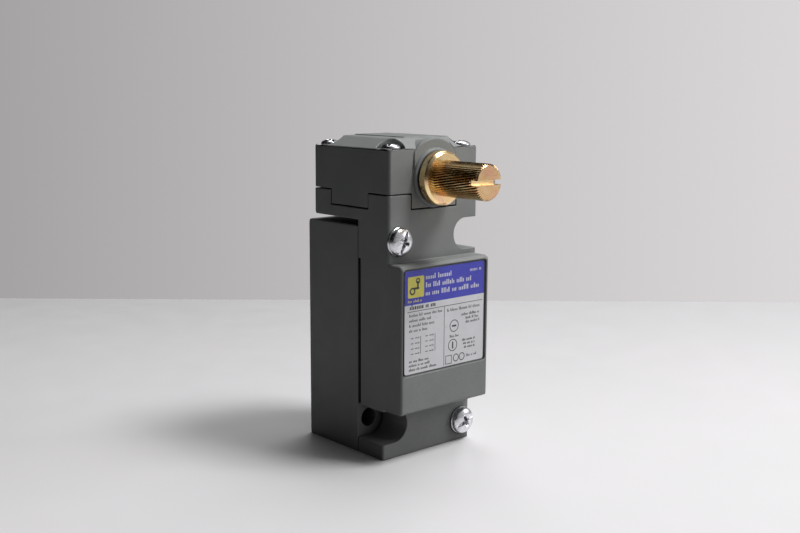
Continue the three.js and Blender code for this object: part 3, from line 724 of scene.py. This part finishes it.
# Pan head screws: skirt, crown, straight slot and cross recess. turn is how each one came to rest.
captive = {"radius": 4.6, "height": 2.6, "skirt": 0.9, "slot": 0.55, "slotDeep": 1.0, "arm": 2.5, "armHalf": 0.75,
           "crossDeep": 1.7, "shank": 2.2, "shankLong": 14.0, "sunk": 0.05, "turn": {"upper": 68, "lower": 22}}
headScrew = {"radius": 3.2, "height": 1.9, "skirt": 0.55, "slot": 0.45, "slotDeep": 0.8, "arm": 1.8,
             "armHalf": 0.5, "crossDeep": 1.2, "shank": 1.7, "shankLong": 16.0,
             "turn": {"1": 35, "2": 80, "3": 12, "4": 55}}
screwMake = {"crownTurn": 9, "crownSteps": 9, "shankEdge": 0.3, "rim": 0.15, "slotRun": 1.2,
             "armTaper": 0.35, "armPast": 0.3, "edge": 0.08, "edgeAngle": 38, "smoothAngle": 30}
washer = {"inner": 2.4, "outer": 4.8, "edge": 0.2}


def makeScrew(part, turn):
    radius, height, skirt = part["radius"], part["height"], part["skirt"]
    shank, tip = part["shank"], -part["shankLong"]
    edge, rim = screwMake["shankEdge"], screwMake["rim"]
    crown = [(radius * math.cos(a), skirt + (height - skirt) * math.sin(a)) for a in
             [math.radians(screwMake["crownTurn"] * i) for i in range(screwMake["crownSteps"])]]
    profile = [(0, tip), (shank - edge, tip), (shank, tip + edge), (shank, 0), (radius - rim, 0), (radius, rim)]
    screw = turned(profile + crown + [(0, height)], "z", (0, 0))
    run, half = radius * screwMake["slotRun"], part["slot"]
    tools = [prism(roundOutline(-run, run, -half, half, 0), "z", height - part["slotDeep"], height + 1)]
    wide, reach = part["armHalf"], part["arm"]
    for quarter in range(2):
        bm = bmesh.new()
        rings = []
        for scale, level in ((screwMake["armTaper"], height - part["crossDeep"]),
                             (1.0, height + screwMake["armPast"])):
            corners = ((-reach * scale, -wide * scale), (reach * scale, -wide * scale),
                       (reach * scale, wide * scale), (-reach * scale, wide * scale))
            rings.append([bm.verts.new((x, y, level)) for x, y in corners])
        skin(bm, rings)
        arm = toObject(bm)
        arm.data.transform(Matrix.Rotation(math.radians(90 * quarter), 4, "Z"))
        tools.append(arm)
    combine(screw, tools)
    breakEdges(screw, screwMake["edge"], screwMake["edgeAngle"], 2)
    screw.data.transform(Matrix.Rotation(math.radians(turn), 4, "Z"))
    return screw


def plate(made, node):
    toPiece(made, node + "_plated", zinc, "housing", (node,), smoothAngle=screwMake["smoothAngle"])


for x, z, place in captivePlaces:
    washerBox = sides("captive_washer_" + place)
    inner, outer, edge = washer["inner"], washer["outer"], washer["edge"]
    front, back = washerBox["front"], washerBox["back"]
    ring = turned([(inner, front), (outer - edge, front), (outer, front + edge), (outer, back - edge),
                   (outer - edge, back), (inner, back)], "y", (x, z), closed=True)
    plate(ring, "captive_washer_" + place)
    screw = makeScrew(captive, captive["turn"][place])
    upright = Matrix.Rotation(math.radians(90), 4, "X")
    screw.data.transform(Matrix.Translation((x, front - captive["sunk"], z)) @ upright)
    plate(screw, "captive_screw_" + place)

for number, turn in headScrew["turn"].items():
    screwBox = sides("head_screw_" + number)
    x, y, _ = middle(screwBox)
    screw = makeScrew(headScrew, turn)
    screw.data.transform(Matrix.Translation((x, y, screwBox["top"] - headScrew["height"])))
    plate(screw, "head_screw_" + number)
print("screws and washers made")

# The label, measured across and up from its middle. Rows of short blocks stand in for print.
# row: from, to, up, letter height, ink weight. ring: across, up, radius, line. bar: left, right, low, high.
# layers is how many coats of ink a print stands proud.
label = {"corner": 0.9, "headerHeight": 11.3, "inkProud": 0.02, "inkSunk": 0.1, "seed": 7, "letter": 0.42,
         "letterSpread": (0.75, 1.15), "tallness": (0.62, 0.62, 0.68, 1.0), "wordLength": (2, 8), "space": 0.08,
         "wordGap": 0.5, "line": 0.22, "layers": {"film": 1, "header": 2, "mark": 3},
         "mark": (-16.9, -9.8, 8.2, 15.2), "markCorner": 0.5, "markRow": (-16.8, -9.9, 6.7, 0.9, 0.62),
         "headerRows": ((-9.0, 4.2, 13.7, 1.7, 0.66), (-9.0, 13.0, 11.0, 1.7, 0.66),
                        (-9.0, 16.6, 8.3, 1.7, 0.66), (11.4, 17.0, 14.2, 1.25, 0.6)),
         "leverRings": ((-14.9, 10.4, 1.25, 0.55), (-12.5, 13.7, 0.95, 0.45)),
         "leverBars": ((-14.3, -12.0, 10.9, 11.6), (-12.9, -12.2, 11.3, 13.6)),
         "ruleAcross": (-17.0, 17.6, 3.55, 3.75), "ruleUp": (-0.55, -0.35), "ruleEnd": 0.4,
         "rows": ((-16.0, -4.2, 4.3, 1.6, 0.8), (-16.2, -1.4, 1.9, 1.0, 0.62), (-16.2, -6.2, 0.2, 1.0, 0.62),
                  (-16.2, -4.8, -1.5, 1.0, 0.62), (-16.2, -7.2, -3.2, 1.0, 0.62), (-16.2, -7.4, -13.4, 0.95, 0.72),
                  (-16.2, -6.4, -14.8, 0.95, 0.72), (-16.2, -3.6, -16.2, 0.95, 0.72), (0.9, 16.4, 1.5, 1.05, 0.62),
                  (7.6, 16.4, -0.7, 0.95, 0.72), (9.6, 16.4, -2.1, 0.95, 0.72), (9.6, 16.4, -3.5, 0.95, 0.72),
                  (2.2, 6.6, -7.6, 0.9, 0.72), (8.0, 14.2, -9.6, 0.9, 0.8), (8.5, 14.2, -10.9, 0.9, 0.8),
                  (9.0, 14.2, -12.2, 0.9, 0.8), (10.2, 15.2, -15.3, 0.95, 0.62)),
         "rings": ((4.2, -3.7, 2.1, 0.28), (3.6, -10.3, 2.1, 0.28),
                   (5.2, -14.9, 1.35, 0.3), (8.0, -14.9, 1.35, 0.3)),
         "bars": ((3.2, 5.2, -4.0, -3.4), (3.3, 3.9, -11.5, -9.1)), "square": (0.3, 3.22, -16.6, -13.6)}
# The contact diagram: four rows of dashes and dots with two uprights through them.
diagram = {"rows": 4, "top": -5.4, "pitch": 1.75, "dashes": (-15.4, -13.6, -9.0, -7.2), "dash": (1.1, 0.25),
           "dots": (-12.0, -5.6), "dotUp": 0.12, "dot": (0.3, 0.14), "uprights": (-11.2, -4.7),
           "upright": 0.18, "uprightEnds": (-10.9, -4.9)}


def inkDepths(layer):
    front = plateBox["front"]
    return front + label["inkSunk"], front - label["inkProud"] * layer


def addInk(bm, u0, u1, v0, v1, layer=1, corner=0.0):
    midX, _, midZ = middle(plateBox)
    outline = roundOutline(midX + u0, midX + u1, midZ + v0, midZ + v1, corner, 4)
    addPrism(bm, outline, "y", *inkDepths(layer))


def addRing(bm, u, v, radius, width, layer=1, steps=36):
    midX, _, midZ = middle(plateBox)
    sunk, proud = inkDepths(layer)
    loops = []
    for r, y in ((radius, sunk), (radius, proud), (radius - width, proud), (radius - width, sunk)):
        loops.append([bm.verts.new((x, y, z)) for x, z in circleOutline(midX + u, midZ + v, r, steps)])
    skin(bm, loops + loops[:1], capped=False)


# A row of blocks of uneven height, in words of uneven length: print without any letters.
def addPrintRow(bm, chance, row, layer=1):
    u, end, v, height, weight = row
    while u < end:
        count = chance.randint(*label["wordLength"])
        for _ in range(count):
            wide = label["letter"] * height * chance.uniform(*label["letterSpread"])
            if u + wide > end:
                return
            tall = height * chance.choice(label["tallness"])
            addInk(bm, u, u + wide * weight, v, v + tall, layer)
            u += wide + label["space"] * height
        u += label["wordGap"] * height


def addDiagram(bm):
    for k in range(diagram["rows"]):
        v = diagram["top"] - diagram["pitch"] * k
        wide, tall = diagram["dash"]
        for u in diagram["dashes"]:
            addInk(bm, u, u + wide, v, v + tall)
        for u in diagram["dots"]:
            addRing(bm, u, v + diagram["dotUp"], *diagram["dot"], 1, 16)
    for u in diagram["uprights"]:
        addInk(bm, u, u + diagram["upright"], *diagram["uprightEnds"])


def makeLabel():
    chance = random.Random(label["seed"])
    left, right, low, high = [plateBox[side] for side in ("left", "right", "bottom", "top")]
    corner, layers = label["corner"], label["layers"]
    base = prism(roundOutline(left, right, low, high, corner), "y", plateBox["front"], plateBox["back"])
    toPiece(base, "name_plate_film", filmWhite, "housing", ("name_plate",), smoothAngle=30)

    blue = bmesh.new()
    header = roundOutline(left, right, high - label["headerHeight"], high, (0, 0, corner, corner))
    addPrism(blue, header, "y", *inkDepths(layers["film"]))
    toPiece(toObject(blue), "name_plate_header", inkBlue, "housing")

    yellow = bmesh.new()
    addInk(yellow, *label["mark"], layers["header"], label["markCorner"])
    addPrintRow(yellow, chance, label["markRow"], layers["header"])
    toPiece(toObject(yellow), "name_plate_mark", inkYellow, "housing")

    white = bmesh.new()
    for row in label["headerRows"]:
        addPrintRow(white, chance, row, layers["header"])
    toPiece(toObject(white), "name_plate_header_print", filmWhite, "housing")

    black = bmesh.new()  # the lever pictogram on the yellow mark, then what is printed on the bare film
    for ring in label["leverRings"]:
        addRing(black, *ring, layers["mark"])
    for bar in label["leverBars"]:
        addInk(black, *bar, layers["mark"])
    addInk(black, *label["ruleAcross"])
    addInk(black, *label["ruleUp"], (low - high) / 2 + label["ruleEnd"], label["ruleAcross"][2])
    for row in label["rows"]:
        addPrintRow(black, chance, row)
    addDiagram(black)
    for ring in label["rings"]:
        addRing(black, *ring)
    for bar in label["bars"]:
        addInk(black, *bar)
    u0, u1, v0, v1 = label["square"]
    line = label["line"]
    for bar in ((u0, u0 + line, v0, v1), (u1 - line, u1, v0, v1), (u0, u1, v0, v0 + line),
                (u0, u1, v1 - line, v1)):
        addInk(black, *bar)
    toPiece(toObject(black), "name_plate_print", inkBlack, "housing")


makeLabel()
print("label printed")

# The inner pieces keep their designed shape, with eased edges and their own finish.
eased = {"rubber": 0.08, "black_plastic": 0.2, "cream_plastic": 0.2, "contact_copper": 0.08, "brass": 0.08,
         "bronze": 0.1, "spring_steel": 0.05, "green_paint": 0.05, "zinc_plate": 0.05}
for entry in frame["record"]["materials"]:
    for nodeName in entry.get("nodes", []):
        kept = nodes[nodeName]
        if kept.hide_render:
            continue
        look = innerLooks[entry["slot"]]
        for slotHolder in kept.material_slots:
            slotHolder.material = look
        if "spring" not in nodeName:
            ease = kept.modifiers.new("eased edges", "BEVEL")
            ease.limit_method = "ANGLE"
            ease.angle_limit = math.radians(40)
            ease.width = eased.get(entry["slot"], 0.1) * mm
            ease.segments = 2
print("inner pieces finished")

# The table with its far edge, in front of a plain backdrop. Its colour darkens from near to far, a painted falloff
# of light.
studio = {"far": 255, "near": 1600, "half": 1600, "nearTone": 0.86, "farTone": 0.76, "toneStart": 0.02,
          "bounce": 0.28, "cloudScale": 9, "cloudLow": (0.97, 0.965, 0.98), "cloudHigh": (1.0, 0.985, 1.0),
          "roughScale": 60, "roughLow": 0.3, "roughHigh": 0.36, "ior": 1.45}
shot = {"azimuth": -41.52, "elevation": 9.627, "roll": 0.287, "lens": 48.886, "sensor": 36, "nearest": 0.01,
        "place": (-246.93, -270.72, 125.39)}
turnAngle, tilt = math.radians(shot["azimuth"]), math.radians(shot["elevation"])
away = (-math.sin(turnAngle), math.cos(turnAngle), 0)


def makeTable():
    part = studio
    laminate = Recipe("white laminate", IOR=part["ior"])
    along = laminate.node("ShaderNodeVectorMath", {0: laminate.place, 1: away}, operation="DOT_PRODUCT")
    # Painted light falloff: the table is coloured darker the farther it lies along the view.
    tone = laminate.spread(along.outputs["Value"], part["nearTone"], part["farTone"], part["toneStart"],
                           part["far"] * mm)
    cloud = laminate.ramp(laminate.noise(part["cloudScale"], 3, 0.5), (0.3, part["cloudLow"]),
                          (0.7, part["cloudHigh"]))
    bounce = laminate.node("ShaderNodeLightPath").outputs["Is Diffuse Ray"]  # it returns less light than it shows
    tone = laminate.sums("MULTIPLY", tone, laminate.spread(bounce, 1.0, part["bounce"], 0.0, 1.0))
    laminate.finish(
        laminate.blend(1.0, cloud, laminate.ramp(tone, (0.0, 0.0), (1.0, 1.0)), "MULTIPLY"),
        laminate.spread(laminate.noise(part["roughScale"], 3, 0.5), part["roughLow"], part["roughHigh"]))
    bm = bmesh.new()
    for u, v in ((-1, -part["near"]), (1, -part["near"]), (1, part["far"]), (-1, part["far"])):
        bm.verts.new((u * part["half"] * mm, v * mm, 0))
    bm.faces.new(bm.verts)
    table = toObject(bm, "table")
    table.data.transform(Matrix.Rotation(turnAngle, 4, "Z"))
    table.data.materials.append(laminate.material)


makeTable()

# Square lamps: direction from the switch, distance and side in metres, watts.
lamps = {"key softbox": ((0.36, -0.42, 0.95), 0.9, 0.26, 5.4),
         "overhead softbox": ((0.4, 0.25, 1.0), 1.0, 0.6, 4.0),
         "right panel": ((0.78, -0.6, 0.4), 1.2, 0.6, 2.7)}
lampAim = (0, 0, 0.05)

for lampName, (towards, distance, size, watts) in lamps.items():
    lamp = bpy.data.lights.new(lampName, "AREA")
    lamp.shape = "RECTANGLE"
    lamp.size = lamp.size_y = size
    lamp.energy = watts
    holder = bpy.data.objects.new(lampName, lamp)
    aim = Vector(towards).normalized()
    holder.location = Vector(lampAim) + aim * distance
    holder.rotation_mode = "QUATERNION"
    holder.rotation_quaternion = (-aim).to_track_quat("-Z", "Y")
    bpy.context.scene.collection.objects.link(holder)

# The backdrop brightens from left to right. Its light on the object is set apart from what is seen of it.
backdrop = {"across": (0.749, -0.663, 0.0), "seenSpan": (-0.34, 0.34), "seen": (0.38, 0.70),
            "lightSpan": (-0.15, 0.9), "light": (0.01, 0.5), "tint": (1.0, 0.965, 0.975)}
world = bpy.data.worlds.new("studio")
bpy.context.scene.world = world
world.use_nodes = True
sky = world.node_tree


def skyStrength(source, span, strengths):
    return addNode(sky, "ShaderNodeMapRange", {"Value": source, "From Min": span[0], "From Max": span[1],
                                               "To Min": strengths[0], "To Max": strengths[1]}).outputs[0]


direction = addNode(sky, "ShaderNodeTexCoord").outputs["Generated"]
sideways = addNode(sky, "ShaderNodeVectorMath", {0: direction, 1: backdrop["across"]},
                   operation="DOT_PRODUCT").outputs["Value"]
seen = skyStrength(sideways, backdrop["seenSpan"], backdrop["seen"])
lighting = skyStrength(sideways, backdrop["lightSpan"], backdrop["light"])
camRay = addNode(sky, "ShaderNodeLightPath").outputs["Is Camera Ray"]
strength = addNode(sky, "ShaderNodeMix", {0: camRay, 2: lighting, 3: seen}, data_type="FLOAT")
background = sky.nodes["Background"]
sky.links.new(strength.outputs[0], background.inputs["Strength"])
background.inputs["Color"].default_value = (*backdrop["tint"], 1)

camera = bpy.data.objects.new("camera", bpy.data.cameras.new("camera"))
bpy.context.scene.collection.objects.link(camera)
camera.data.lens = shot["lens"]
camera.data.sensor_width = shot["sensor"]
camera.data.clip_start = shot["nearest"]
ahead = Vector((away[0] * math.cos(tilt), away[1] * math.cos(tilt), -math.sin(tilt)))
camera.rotation_mode = "QUATERNION"
level = ahead.to_track_quat("-Z", "Y")
camera.rotation_quaternion = level @ Matrix.Rotation(math.radians(shot["roll"]), 3, "Z").to_quaternion()
camera.location = Vector(shot["place"]) * mm
bpy.context.scene.camera = camera
bpy.context.scene.view_settings.view_transform = "Standard"
print("lights and camera set")
